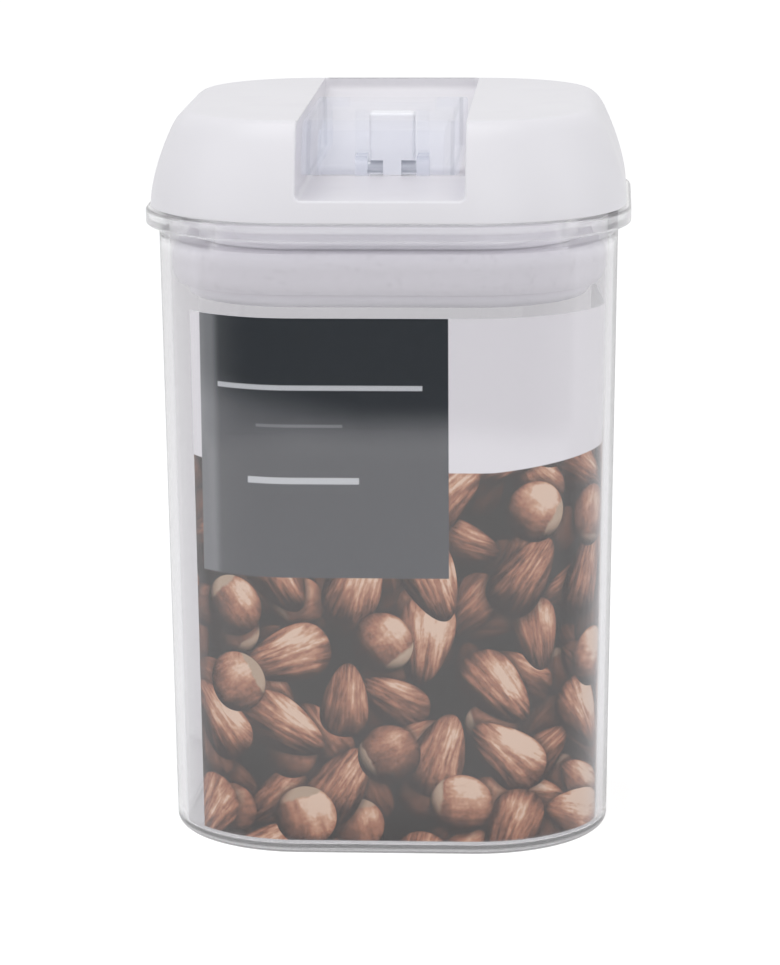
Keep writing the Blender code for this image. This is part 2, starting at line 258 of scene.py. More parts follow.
class NodeSheet(NodeBoard):
    """A material's node tree, with its shader and its output."""

    def __init__(self, name: str) -> None:
        """Start a material.

        Args:
            name: The material's name.
        """
        self.material = bpy.data.materials.new(name)
        self.material.use_nodes = True
        super().__init__(self.material.node_tree)
        self.place = self.node("ShaderNodeTexCoord").outputs["Object"]
        self.shader = self.node("ShaderNodeBsdfPrincipled")
        self.surface = self.node("ShaderNodeOutputMaterial").inputs["Surface"]
        self.feed(self.surface, self.shader.outputs[0])

    def set(self, **inputs: object) -> None:
        """Set or link the shader's inputs, named with _ for a space."""
        for name, given in inputs.items():
            self.feed(self.shader.inputs[name.replace("_", " ")], given)

    def noise(self, scale: float, detail: float = 3.0, vector: Socket | None = None) -> Value:
        """Return a noise from 0 to 1.

        Args:
            scale: Its waves to the metre.
            detail: How many finer noises it holds.
            vector: The places that it reads, or else those on the piece.

        Returns:
            The noise.
        """
        inputs = {"Vector": vector or self.place, "Scale": scale, "Detail": detail}
        return self.value("ShaderNodeTexNoise", inputs | {"Roughness": NOISE_ROUGHNESS})

    def bump(self, height: Value, distance: float = FINE_RELIEF) -> None:
        """Give the surface a relief of a depth."""
        self.set(Normal=self.out("ShaderNodeBump", {"Height": height, "Distance": distance}))

    def let_lamps_through(self, tint: Colour, *rays: str) -> None:
        """Let some kinds of ray pass straight through the surface, tinted."""
        film = self.out("ShaderNodeBsdfTransparent", {"Color": tint})
        self.feed(self.surface, self.mix_shaders(self.seen_by(*rays), self.shader.outputs[0], film))


# Finishes


def shaded(colour: Colour, share: float) -> Colour:
    """Return a colour times a share, and at most 1."""
    return tuple(min(1.0, part * share) for part in colour)


@dataclass(frozen=True)
class Finish:
    """A finish, whose nodes its own class adds."""

    name: str

    def make(self) -> bpy.types.Material:
        """Make a new material of this finish.

        Returns:
            The material.
        """
        sheet = NodeSheet(self.name)
        self.fill(sheet)
        return sheet.material

    def fill(self, sheet: NodeSheet) -> None:
        """Add the finish's nodes to a sheet."""
        raise NotImplementedError


@dataclass(frozen=True)
class ClearPlastic(Finish):
    """Polished clear acrylic with faint ripples from the mould."""

    tint: Colour
    clearer: Colour
    film: Colour
    neck: Step = (0.1200, 0.0020)
    foot_line: Step = (0.0012, 0.0004)
    foot_line_share: float = 0.3
    foot_top: Step = (0.0034, 0.0012)
    rim_bottom: Step = (0.1218, 0.0012)
    foot_share: float = 0.15
    rim_share: float = 0.3
    index: float = 1.49
    ripple_scale: float = 60.0

    def fill(self, sheet: NodeSheet) -> None:
        """Add clear plastic, clearer at the neck, that lets white through at the foot and the rim.

        Args:
            sheet: The material's nodes.
        """
        height = sheet.split(sheet.place)[2]
        line = height.above(*self.foot_line) * (1 - self.foot_line_share) + self.foot_line_share
        foot = height.below(*self.foot_top) * line
        rim = height.above(*self.rim_bottom)
        sheet.set(
            Base_Color=sheet.mix(height.above(*self.neck), self.tint, self.clearer),
            Alpha=1.0 - foot * self.foot_share - rim * self.rim_share,
            Transmission_Weight=1.0, IOR=self.index, Roughness=0.0,
        )
        sheet.bump(sheet.noise(self.ripple_scale, 1.0))
        sheet.let_lamps_through(self.film, "Shadow", "Diffuse")


@dataclass(frozen=True)
class MilkyPlastic(Finish):
    """Clear plastic with a faint blue milkiness in it."""

    colour: Colour
    film: Colour
    cover: float = 0.13
    roughness: float = 0.1
    swing: float = 0.06
    # Painted shade: a darker, more opaque line down the inside of each side wall, for the shade of the wall
    # seen edge-on
    painted_edge_shade: Point = (0.0139, 0.0004)
    painted_edge_darkness: float = 0.55
    painted_edge_cover: float = 0.16
    ears_reach: Step = (0.0088, 0.0003)
    ears_depth: Step = (0.0072, 0.0003)
    ears_clearer: float = 0.7
    boss_colour: Colour = (0.95, 0.955, 1.0)
    boss_start: float = 0.0049
    boss_band: Triple = (0.1302, 0.1352, 0.0012)
    boss_cover: float = 0.65
    line_blur: float = 0.0002
    patches: Step = (0.5, 0.25)
    paler: float = 1.06
    cloud_scale: float = 110.0
    ripple_scale: float = 240.0
    index: float = 1.49

    def fill(self, sheet: NodeSheet) -> None:
        """Add cloudy plastic with a painted dark edge line each side, clear ears and a milky boss on each
        ear.

        Args:
            sheet: The material's nodes.
        """
        cloud = sheet.noise(self.cloud_scale)
        across, along, height = (part.math("ABSOLUTE") for part in sheet.split(sheet.place))
        # Painted shade line down the inside of each side wall
        painted_edge_shade = across.near(*self.painted_edge_shade, self.line_blur)
        ears = across.below(*self.ears_reach) * along.below(*self.ears_depth)
        boss = ears * across.above(self.boss_start, self.line_blur) * height.between(*self.boss_band)
        milk = sheet.mix(cloud.above(*self.patches), self.colour, shaded(self.colour, self.paler))
        milk = sheet.mix(painted_edge_shade, milk, shaded(self.colour, self.painted_edge_darkness))
        cover = (cloud * self.swing + (self.cover - self.swing / 2)) * (1.0 - ears * self.ears_clearer)
        sheet.set(
            Base_Color=sheet.mix(boss, milk, self.boss_colour),
            Alpha=cover + painted_edge_shade * self.painted_edge_cover + boss * self.boss_cover,
            Roughness=cloud * self.swing + (self.roughness - self.swing / 2),
            IOR=self.index,
        )
        sheet.bump(sheet.noise(self.ripple_scale, 1.0))
        sheet.let_lamps_through(self.film, "Shadow", "Diffuse")


@dataclass(frozen=True)
class Patches:
    """Soft patches that a noise makes."""

    scale: float
    detail: float
    edge: float
    blur: float

    def on(self, sheet: NodeSheet) -> Value:
        """Return 1 in the patches and 0 between them."""
        return sheet.noise(self.scale, self.detail).above(self.edge, self.blur)


@dataclass(frozen=True)
class PalePlastic(Finish):
    """Pale moulded plastic or rubber, duller in places, thin enough to let some light through."""

    colour: Colour
    roughness: float
    lets_through: float
    clouds: Patches = Patches(28.0, 3.0, 0.5, 0.3)
    deeper: float = 0.965
    scuffs: Patches = Patches(90.0, 6.0, 0.60, 0.12)
    duller: float = 0.06
    grain_scale: float = 2600.0
    index: float = 1.48

    def fill(self, sheet: NodeSheet) -> None:
        """Add faintly cloudy plastic with scuffs and a fine grain.

        Args:
            sheet: The material's nodes.
        """
        sheet.set(
            Base_Color=sheet.mix(self.clouds.on(sheet), self.colour, shaded(self.colour, self.deeper)),
            Roughness=self.scuffs.on(sheet) * self.duller + self.roughness,
            IOR=self.index,
        )
        sheet.bump(sheet.noise(self.grain_scale, 2.0))
        sheet.let_lamps_through((self.lets_through,) * 3, "Shadow")


@dataclass(frozen=True)
class DrawnSteel(Finish):
    """Drawn steel wire with lines along its length."""

    colour: Colour = (0.62, 0.62, 0.64)
    roughness: float = 0.22
    line_share: float = 0.2
    line_scale: Triple = (60.0, 2400.0, 2400.0)

    def fill(self, sheet: NodeSheet) -> None:
        """Add bright metal with fine lines across its shine.

        Args:
            sheet: The material's nodes.
        """
        squeezed = sheet.out("ShaderNodeMapping", {"Vector": sheet.place, "Scale": self.line_scale})
        lines = sheet.noise(1.0, vector=squeezed)
        sheet.set(Roughness=lines * self.line_share + self.roughness, Base_Color=self.colour, Metallic=1.0)
        sheet.bump(lines)


@dataclass(frozen=True)
class WhiteCard(Finish):
    """The bare white back of the printed wrap."""

    colour: Colour = (0.92, 0.92, 0.92)
    deeper: float = 0.95
    patches: Step = (0.5, 0.2)
    roughness: float = 0.6
    fibre_share: float = 0.1
    fibre_scale: float = 900.0

    def fill(self, sheet: NodeSheet) -> None:
        """Add dull card with fine fibres.

        Args:
            sheet: The material's nodes.
        """
        fibre = sheet.noise(self.fibre_scale, 6.0)
        colour = sheet.mix(fibre.above(*self.patches), self.colour, shaded(self.colour, self.deeper))
        sheet.set(Base_Color=colour, Roughness=fibre * self.fibre_share + self.roughness)
        sheet.bump(fibre)


@dataclass(frozen=True)
class NutLayer:
    """One layer of scattered nuts in the print."""

    shift: Point
    spacing: float
    brightness: float
    blur: float
    jitter: float = 0.36


@dataclass(frozen=True)
class Rule:
    """A plain line printed on the panel."""

    height: float
    middle: float
    half_length: float
    half_width: float
    strength: float


@dataclass(frozen=True)
class PrintedWrap(Finish):
    """The wrap's print: a slate panel, a white band, and roasted almonds and hazelnuts.

    The print reads the wrap's own map, metres along it and metres up.
    """

    slate: Colour = (0.026, 0.033, 0.040)
    # Painted reflection: below this height the panel turns to a lighter slate, for the veil that the jar's
    # front wall reflects
    painted_veil_slate: Colour = (0.082, 0.086, 0.096)
    painted_veil: Step = (0.0862, 0.0065)
    # Painted reflection: a still lighter slate above the veil's edge, rising towards the panel's left end,
    # for the leaning edge of the reflected veil
    painted_veil_edge_slate: Colour = (0.20, 0.205, 0.215)
    painted_veil_lean_start: float = 0.004
    painted_veil_lean: float = 0.22
    # Painted sheen: a pale strip down the panel's left edge, for the reflection in the jar's rounded corner
    painted_sheen: Step = (-0.0336, 0.0012)
    painted_sheen_share: float = 0.24
    band: Colour = (0.94, 0.92, 0.95)
    line: Colour = (0.66, 0.68, 0.70)
    ground: Colour = (0.020, 0.016, 0.014)
    pale_end: Colour = (0.52, 0.38, 0.27)
    panel_sides: Point = (-0.0377, 0.0130)
    panel_bottom: float = 0.0568
    print_top: float = 0.0781
    bow_start: float = 0.022
    bow_slope: float = 0.09
    edge_blur: float = 0.00012
    hazel_share: float = 0.72
    half_length: float = 0.6
    half_width: float = 0.36
    hazel_shorter: float = 0.18
    hazel_wider: float = 0.05
    taper: float = 0.34
    flatter: float = 0.62
    light: Triple = (0.42, 0.60, 0.68)
    lit_share: float = 0.6
    dome_share: float = 0.12
    furrows: Triple = (1.3, 5.5, 90.0)
    furrow_share: float = 0.95
    hazel_smoother: float = 0.6
    blotches: Triple = (2.2, 2.0, 70.0)
    blotch_share: float = 0.45
    fleck_share: float = 0.18
    tone_share: float = 0.22
    tone_spread: float = 7.31
    glint: Step = (0.90, 0.12)
    glint_share: float = 0.16
    cap_start: Step = (-0.62, 0.05)
    cap_light: Step = (0.25, 0.35)
    cap_fray: float = 0.35
    cap_share: float = 0.75
    shadow: Step = (1.22, 0.42)
    shadow_share: float = 0.8
    fleck_scale: float = 1500.0
    grain_scale: float = 1800.0
    grain_share: float = 0.1
    grain_height: float = 0.000003
    roughness: float = 0.26
    roast: tuple[tuple[float, Colour], ...] = (
        (0.0, (0.022, 0.012, 0.009)), (0.22, (0.075, 0.032, 0.020)), (0.45, (0.20, 0.085, 0.052)),
        (0.68, (0.45, 0.190, 0.11)), (0.86, (0.68, 0.38, 0.24)), (1.0, (0.86, 0.62, 0.47)),
    )
    rules: tuple[Rule, ...] = (
        Rule(0.0950, -0.0126, 0.0205, 0.00050, 1.0),
        Rule(0.0874, -0.0163, 0.0085, 0.00030, 0.25),
        Rule(0.0764, -0.0156, 0.0110, 0.00065, 1.0),
    )
    layers: tuple[NutLayer, ...] = (
        NutLayer((0.31, 0.77), 0.0120, 0.56, 0.12),
        NutLayer((4.63, 2.19), 0.0128, 1.10, 0.02),
        NutLayer((9.27, 6.41), 0.0150, 1.42, 0.012),
    )

    def scatter(self, sheet: NodeSheet, layer: NutLayer) -> tuple[Socket, Value, Value]:
        """Find the nut of a layer that lies on top at each place of the wrap.

        Args:
            sheet: The material's nodes, whose places are those on the wrap.
            layer: The layer's sizes.

        Returns:
            The place in the nut's own axes with its turn, the nut's chance, and the nearest nut's reach.
        """
        shrink = {"Vector": sheet.place, "Scale": (1 / layer.spacing,) * 3, "Location": (*layer.shift, 0.0)}
        cells = sheet.out("ShaderNodeMapping", shrink)
        corner = sheet.vector("FLOOR", cells)
        spread, back = (2 * layer.jitter,) * 2, (-layer.jitter,) * 2
        found = []
        for step in ((0.0, 0.0), (1.0, 0.0), (0.0, 1.0), (1.0, 1.0)):
            home = sheet.vector("ADD", corner, (*step, 0.0))
            dice = sheet.node("ShaderNodeTexWhiteNoise", {"Vector": home}, noise_dimensions="2D").outputs
            moved = sheet.vector("MULTIPLY_ADD", dice["Color"], (*spread, 0.0), (*back, 0.0))
            offset = sheet.vector("SUBTRACT", sheet.vector("SUBTRACT", cells, home), moved)
            angle = sheet.split(dice["Color"])[2] * math.tau
            chance = Value(sheet, dice["Value"])
            hazel = chance.math("GREATER_THAN", self.hazel_share)
            along, across, _ = sheet.split(sheet.turn(offset, angle))
            along = along / (self.half_length - hazel * self.hazel_shorter)
            across = across / (self.half_width + hazel * self.hazel_wider)
            bulged = across * (along * (1.0 - hazel) * self.taper + 1.0)
            reach = along * along + bulged * bulged
            rank = chance - reach.math("GREATER_THAN", 1.0) * 2.0
            found.append((sheet.combine(along, bulged, angle), rank, reach))
        own, best, nearest = found[0]
        for other, rank, reach in found[1:]:
            own = sheet.choose(rank.math("GREATER_THAN", best), own, other)
            best = best.most(rank)
            nearest = nearest.math("MINIMUM", reach)
        return own, best, nearest

    def nuts(self, sheet: NodeSheet, layer: NutLayer) -> tuple[Socket, Value, Value]:
        """Draw a layer of nuts.

        Args:
            sheet: The material's nodes, whose places are those on the wrap.
            layer: The layer's sizes.

        Returns:
            The colour, where a nut covers, and where its shadow falls.
        """
        own, chance, nearest = self.scatter(sheet, layer)
        along, bulged, angle = sheet.split(own)
        hazel = chance.math("GREATER_THAN", self.hazel_share)
        tone = (chance * self.tone_spread).math("FRACT")
        reach = along * along + bulged * bulged
        dome = (1.0 - reach).most().math("SQRT")
        facing = sheet.turn(sheet.combine(along * self.flatter, bulged, dome), angle * -1.0)
        dot = sheet.node("ShaderNodeVectorMath", {0: facing, 1: self.light}, operation="DOT_PRODUCT")
        lit = Value(sheet, dot.outputs["Value"])

        def skin(waves: Triple, detail: float) -> Value:
            """Return a noise with waves along the nut, across it and from nut to nut."""
            scaled = (part * wave for part, wave in zip((along, bulged, chance), waves))
            return sheet.noise(1.0, detail, sheet.combine(*scaled))

        furrows, blotch = skin(self.furrows, 5.0), skin(self.blotches, 3.0)
        fleck = sheet.noise(self.fleck_scale, 2.0)
        ridges = (furrows - 0.5) * (1.0 - hazel * self.hazel_smoother) * self.furrow_share
        shade = lit * self.lit_share + dome * self.dome_share + ridges + (blotch - 0.5) * self.blotch_share
        shade = shade + (fleck - 0.5) * self.fleck_share + (tone - 0.5) * self.tone_share
        shade = (shade + lit.above(*self.glint) * self.glint_share) * layer.brightness
        body = sheet.out("ShaderNodeValToRGB", {0: shade}, stops=self.roast)
        frayed = along + (blotch - 0.5) * self.cap_fray
        cap = hazel * frayed.below(*self.cap_start) * lit.above(*self.cap_light) * layer.brightness
        body = sheet.mix(cap * self.cap_share, body, self.pale_end)
        return body, reach.below(1.0 - layer.blur, layer.blur), nearest.below(*self.shadow)

    def picture(self, sheet: NodeSheet) -> Socket:
        """Lay the layers of nuts over the dark ground, each with its shadow under it.

        Args:
            sheet: The material's nodes, whose places are those on the wrap.

        Returns:
            The picture's colour.
        """
        shown: object = self.ground
        for layer in self.layers:
            body, cover, shadow = self.nuts(sheet, layer)
            shown = sheet.mix(shadow * self.shadow_share, shown, self.ground)
            shown = sheet.mix(cover, shown, body)
        return shown

    def fill(self, sheet: NodeSheet) -> None:
        """Add the picture under its white band, and the panel with its rules, a painted reflection low on it
        and a painted sheen down its left edge.

        Args:
            sheet: The material's nodes.
        """
        grain = sheet.noise(self.grain_scale, 4.0)
        sheet.place = sheet.out("ShaderNodeUVMap", uv_map="wrap")
        along, height, _ = sheet.split(sheet.place)
        bow = (along.math("ABSOLUTE") - self.bow_start).most() * self.bow_slope
        banded = (height - bow).above(self.print_top, self.edge_blur)
        colour = sheet.mix(banded, self.picture(sheet), self.band)
        # Painted reflection: the veil's top edge leans up towards the left, and the slate is lightest just
        # under it
        lean = (along * -1.0 - self.painted_veil_lean_start).most() * self.painted_veil_lean
        slate = sheet.mix((height - lean).below(*self.painted_veil), self.slate, self.painted_veil_edge_slate)
        # Painted reflection: lighter slate low on the panel, for the reflected veil
        slate = sheet.mix(height.below(*self.painted_veil), slate, self.painted_veil_slate)
        # Painted sheen: pale strip down the panel's left edge
        slate = sheet.mix(along.below(*self.painted_sheen) * self.painted_sheen_share, slate, self.line)
        panel = height.above(self.panel_bottom, self.edge_blur)
        colour = sheet.mix(along.between(*self.panel_sides, self.edge_blur) * panel, colour, slate)
        for rule in self.rules:
            stripe = height.near(rule.height, rule.half_width, self.edge_blur)
            stripe = stripe * along.near(rule.middle, rule.half_length, self.edge_blur)
            colour = sheet.mix(stripe * rule.strength, colour, self.line)
        sheet.set(Base_Color=colour, Roughness=grain * self.grain_share + self.roughness)
        sheet.bump(grain, self.grain_height)


CLEAR_JAR = ClearPlastic("clear_jar", (0.79, 0.78, 0.795), (0.97, 0.965, 0.98), (1.0, 1.0, 1.0))
CLEAR_LEVER = MilkyPlastic("clear_lever", (0.74, 0.80, 0.98), (0.99, 0.99, 1.0))
WHITE_COVER = PalePlastic("white_cover", (0.785, 0.77, 0.80), 0.30, 0.35)
# Painted light: the rod's white plastic is made lighter than the cover's, for the light its head lacks down
# in the shaded pocket
WHITE_ROD_PAINTED_LIGHT = PalePlastic("white_rod_painted_light", (0.98, 0.97, 0.98), 0.30, 0.35)
# Real white plastic, painted lighter than the cover's for the light that the shaded neck under the cover
# lacks
WHITE_INNER_PAINTED_LIGHT = PalePlastic("white_inner", (0.92, 0.905, 0.94), 0.42, 0.9)
DUST = Patches(700.0, 5.0, 0.62, 0.10)
MILKY_SEAL = PalePlastic("milky_silicone", (0.86, 0.84, 0.88), 0.55, 0.8, DUST, 0.93, DUST, 0.1, 1500.0, 1.41)
PIN_STEEL = DrawnSteel("pin_steel")
PRINT = PrintedWrap("printed_wrap")
CARD_BACK = WhiteCard("white_card_back")


# Modelling by hand


def deselect() -> None:
    """Deselect everything in the scene."""
    bpy.ops.object.select_all(action="DESELECT")


def pick(piece: Piece) -> None:
    """Select one piece alone and make it active.

    Args:
        piece: The piece.
    """
    deselect()
    piece.select_set(True)
    bpy.context.view_layer.objects.active = piece


def select(kind: str, wanted: Callable[[object], bool]) -> None:
    """Select some parts of the piece in edit mode.

    Args:
        kind: VERT or EDGE.
        wanted: Says whether a point or an edge is selected.
    """
    bpy.ops.mesh.select_mode(type=kind)
    bpy.ops.mesh.select_all(action="DESELECT")
    mesh = bpy.context.active_object.data
    cage = bmesh.from_edit_mesh(mesh)
    for part in cage.verts if kind == "VERT" else cage.edges:
        if wanted(part):
            part.select_set(True)
    bmesh.update_edit_mesh(mesh)


def extrude(move: Vector) -> None:
    """Extrude what is selected and move it."""
    bpy.ops.mesh.extrude_region_move(TRANSFORM_OT_translate={"value": move})


def spin(angle: float, centre: Vector) -> None:
    """Turn what is selected about an upright axis, leaving a surface behind it."""
    bpy.ops.mesh.spin(steps=SPIN_STEPS, angle=angle, center=centre, axis=(0, 0, 1))


def merge_doubles(threshold: float) -> None:
    """Merge the points in edit mode that lie together, and leave all selected."""
    bpy.ops.mesh.select_all(action="SELECT")
    bpy.ops.mesh.remove_doubles(threshold=threshold)


def finish_shell() -> None:
    """Turn every face in edit mode outwards, and leave edit mode."""
    bpy.ops.mesh.select_all(action="SELECT")
    bpy.ops.mesh.normals_make_consistent(inside=False)
    bpy.ops.object.mode_set(mode="OBJECT")


def chain(points: list[Vector], closed: bool = False) -> Piece:
    """Extrude one point along a line of points, and stay in edit mode.

    Args:
        points: The line's points.
        closed: Whether the last point is joined to the first.

    Returns:
        The new piece, with the whole chain selected.
    """
    deselect()
    bpy.ops.mesh.primitive_plane_add(size=OVERRUN)
    bpy.ops.object.mode_set(mode="EDIT")
    bpy.ops.mesh.merge(type="CENTER")
    bpy.ops.transform.translate(value=points[0])
    for start, end in zip(points, points[1:]):
        extrude(end - start)
    if closed:
        select("VERT", lambda vert: len(vert.link_edges) == 1)
        bpy.ops.mesh.edge_face_add()
    bpy.ops.mesh.select_all(action="SELECT")
    return bpy.context.active_object


def sweep(profile: list[Point], closed: bool = False) -> Piece:
    """Run a profile round the rounded square plan.

    Args:
        profile: Half widths and heights.
        closed: Whether the profile closes on itself. Otherwise both ends get flat caps.

    Returns:
        The new piece.
    """
    piece = chain([Vector((half, -FLAT_HALF, height)) for half, height in profile], closed)
    for turn in range(4):
        sine, cosine = math.sin(QUARTER * turn), math.cos(QUARTER * turn)
        extrude(Vector((-sine, cosine, 0.0)) * 2 * FLAT_HALF)
        spin(-QUARTER, Vector((cosine - sine, sine + cosine, 0.0)) * FLAT_HALF)
    merge_doubles(MERGE)
    if not closed:
        cap(profile[0][1])
        cap(profile[-1][1])
    finish_shell()
    return piece


def cap(height: float) -> None:
    """Close the open edge loop at a height, in edit mode, with a flat face and a narrow border.

    Args:
        height: The height of every point of the loop.
    """

    def wanted(edge: bmesh.types.BMEdge) -> bool:
        """Return whether an edge is open and lies at the height."""
        return edge.is_boundary and all(abs(vert.co.z - height) < MERGE for vert in edge.verts)

    select("EDGE", wanted)
    bpy.ops.mesh.edge_face_add()
    bpy.ops.mesh.select_mode(type="FACE")
    bpy.ops.mesh.inset(thickness=GAP, depth=0.0)
    bpy.ops.mesh.select_mode(type="VERT")


def slab(outline: list[Point], left: float, right: float) -> Piece:
    """Extrude a side outline across X.

    Args:
        outline: Y and Z points, in order.
        left: Where the slab starts.
        right: Where it ends.

    Returns:
        The new slab.
    """
    piece = chain([Vector((left, y, z)) for y, z in outline], True)
    bpy.ops.mesh.edge_face_add()
    extrude(Vector((right - left, 0, 0)))
    finish_shell()
    return piece


def block(low: Vector, high: Vector, edge: float = 0.0) -> Piece:
    """Add a box between two corners and round its edges.

    Args:
        low: The lowest corner.
        high: The highest corner.
        edge: The radius of its edges.

    Returns:
        The new box.
    """
    deselect()
    bpy.ops.mesh.primitive_cube_add(size=1.0, location=(low + high) / 2, scale=high - low)
    bpy.ops.object.transform_apply()
    piece = bpy.context.active_object
    if edge:
        soften(piece, edge)
    return piece


def bar(height: float, radius: float, length: float, sides: int = 40) -> Piece:
    """Add a round bar along X.

    Args:
        height: The height of its axis.
        radius: Its radius.
        length: Its length.
        sides: The number of its sides.

    Returns:
        The new bar.
    """
    deselect()
    place = {"location": (0.0, 0.0, height), "rotation": (0.0, QUARTER, 0.0)}
    bpy.ops.mesh.primitive_cylinder_add(vertices=sides, radius=radius, depth=length, **place)
    bpy.ops.object.transform_apply()
    return bpy.context.active_object


def modify(piece: Piece, kind: str, **settings: object) -> None:
    """Add a modifier to a piece and apply it.

    Args:
        piece: The piece.
        kind: The modifier's type.
        settings: The modifier's settings.
    """
    pick(piece)
    step = piece.modifiers.new(kind.lower(), kind)
    for key, setting in settings.items():
        setattr(step, key, setting)
    bpy.ops.object.modifier_apply(modifier=step.name)


def cut(piece: Piece, tool: Piece, operation: str = "DIFFERENCE") -> None:
    """Cut a tool out of a piece, or add it to the piece with UNION, and use the tool up."""
    modify(piece, "BOOLEAN", operation=operation, solver="EXACT", object=tool)
    bpy.data.objects.remove(tool, do_unlink=True)


def soften(piece: Piece, width: float, segments: int = 3, angle: float = 40.0) -> None:
    """Round a piece's sharp edges, and clear away what the rounding leaves without a size.

    Args:
        piece: The piece.
        width: How far the rounding reaches.
        segments: The steps of the rounding.
        angle: The least angle of a sharp edge, in degrees.
    """
    modify(
        piece, "BEVEL", width=width, segments=segments, limit_method="ANGLE",
        angle_limit=math.radians(angle), use_clamp_overlap=True, miter_outer="MITER_SHARP",
    )
    bpy.ops.object.mode_set(mode="EDIT")
    merge_doubles(SLIVER)
    bpy.ops.mesh.dissolve_degenerate(threshold=MERGE)
    finish_shell()


def round_rim(piece: Piece, on_rim: Callable[[Vector], bool], width: float) -> None:
    """Round the sharp outer edges whose ends both lie on a rim.

    Args:
        piece: The piece.
        on_rim: Says whether a point lies on the rim.
        width: How far the rounding reaches.
    """

    def wanted(edge: bmesh.types.BMEdge) -> bool:
        """Return whether an edge is a sharp outer one on the rim."""
        sharp = edge.is_manifold and edge.is_convex and edge.calc_face_angle() > RIM_ANGLE
        return sharp and all(on_rim(vert.co) for vert in edge.verts)

    pick(piece)
    bpy.ops.object.mode_set(mode="EDIT")
    select("EDGE", wanted)
    bpy.ops.mesh.bevel(offset=width, segments=3, affect="EDGES", clamp_overlap=False)
    bpy.ops.mesh.select_mode(type="VERT")
    merge_doubles(SLIVER)
    bpy.ops.object.mode_set(mode="OBJECT")


def dress(piece: Piece, name: str, finish: Finish | None, node: str, body: Body | None) -> None:
    """Name and shade a piece, give it its finish, hide the CAD node that it stands for and hang it on the
    body that it rides on.

    Args:
        piece: The piece.
        name: Its name.
        finish: Its finish, unless it has its materials already.
        node: The CAD node that it stands for.
        body: The body that it rides on, or None to leave it unattached.
    """
    piece.name = name
    pick(piece)
    bpy.ops.object.shade_smooth_by_angle(angle=SMOOTH_ANGLE)
    modify(piece, "WEIGHTED_NORMAL", mode="FACE_AREA", keep_sharp=True)
    if finish:
        piece.data.materials.append(finish.make())
    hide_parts(node)
    if body:
        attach(piece, body.value)
    log.info("%s: %d faces", piece.name, len(piece.data.polygons))


def arc(centre: Point, radius: float, start: float, end: float, steps: int) -> list[Point]:
    """Return points along an arc, from one angle in degrees to another, in some steps."""
    angles = [math.radians(start + (end - start) * step / steps) for step in range(steps + 1)]
    return [(centre[0] + radius * math.cos(angle), centre[1] + radius * math.sin(angle)) for angle in angles]


# Sub-assemblies


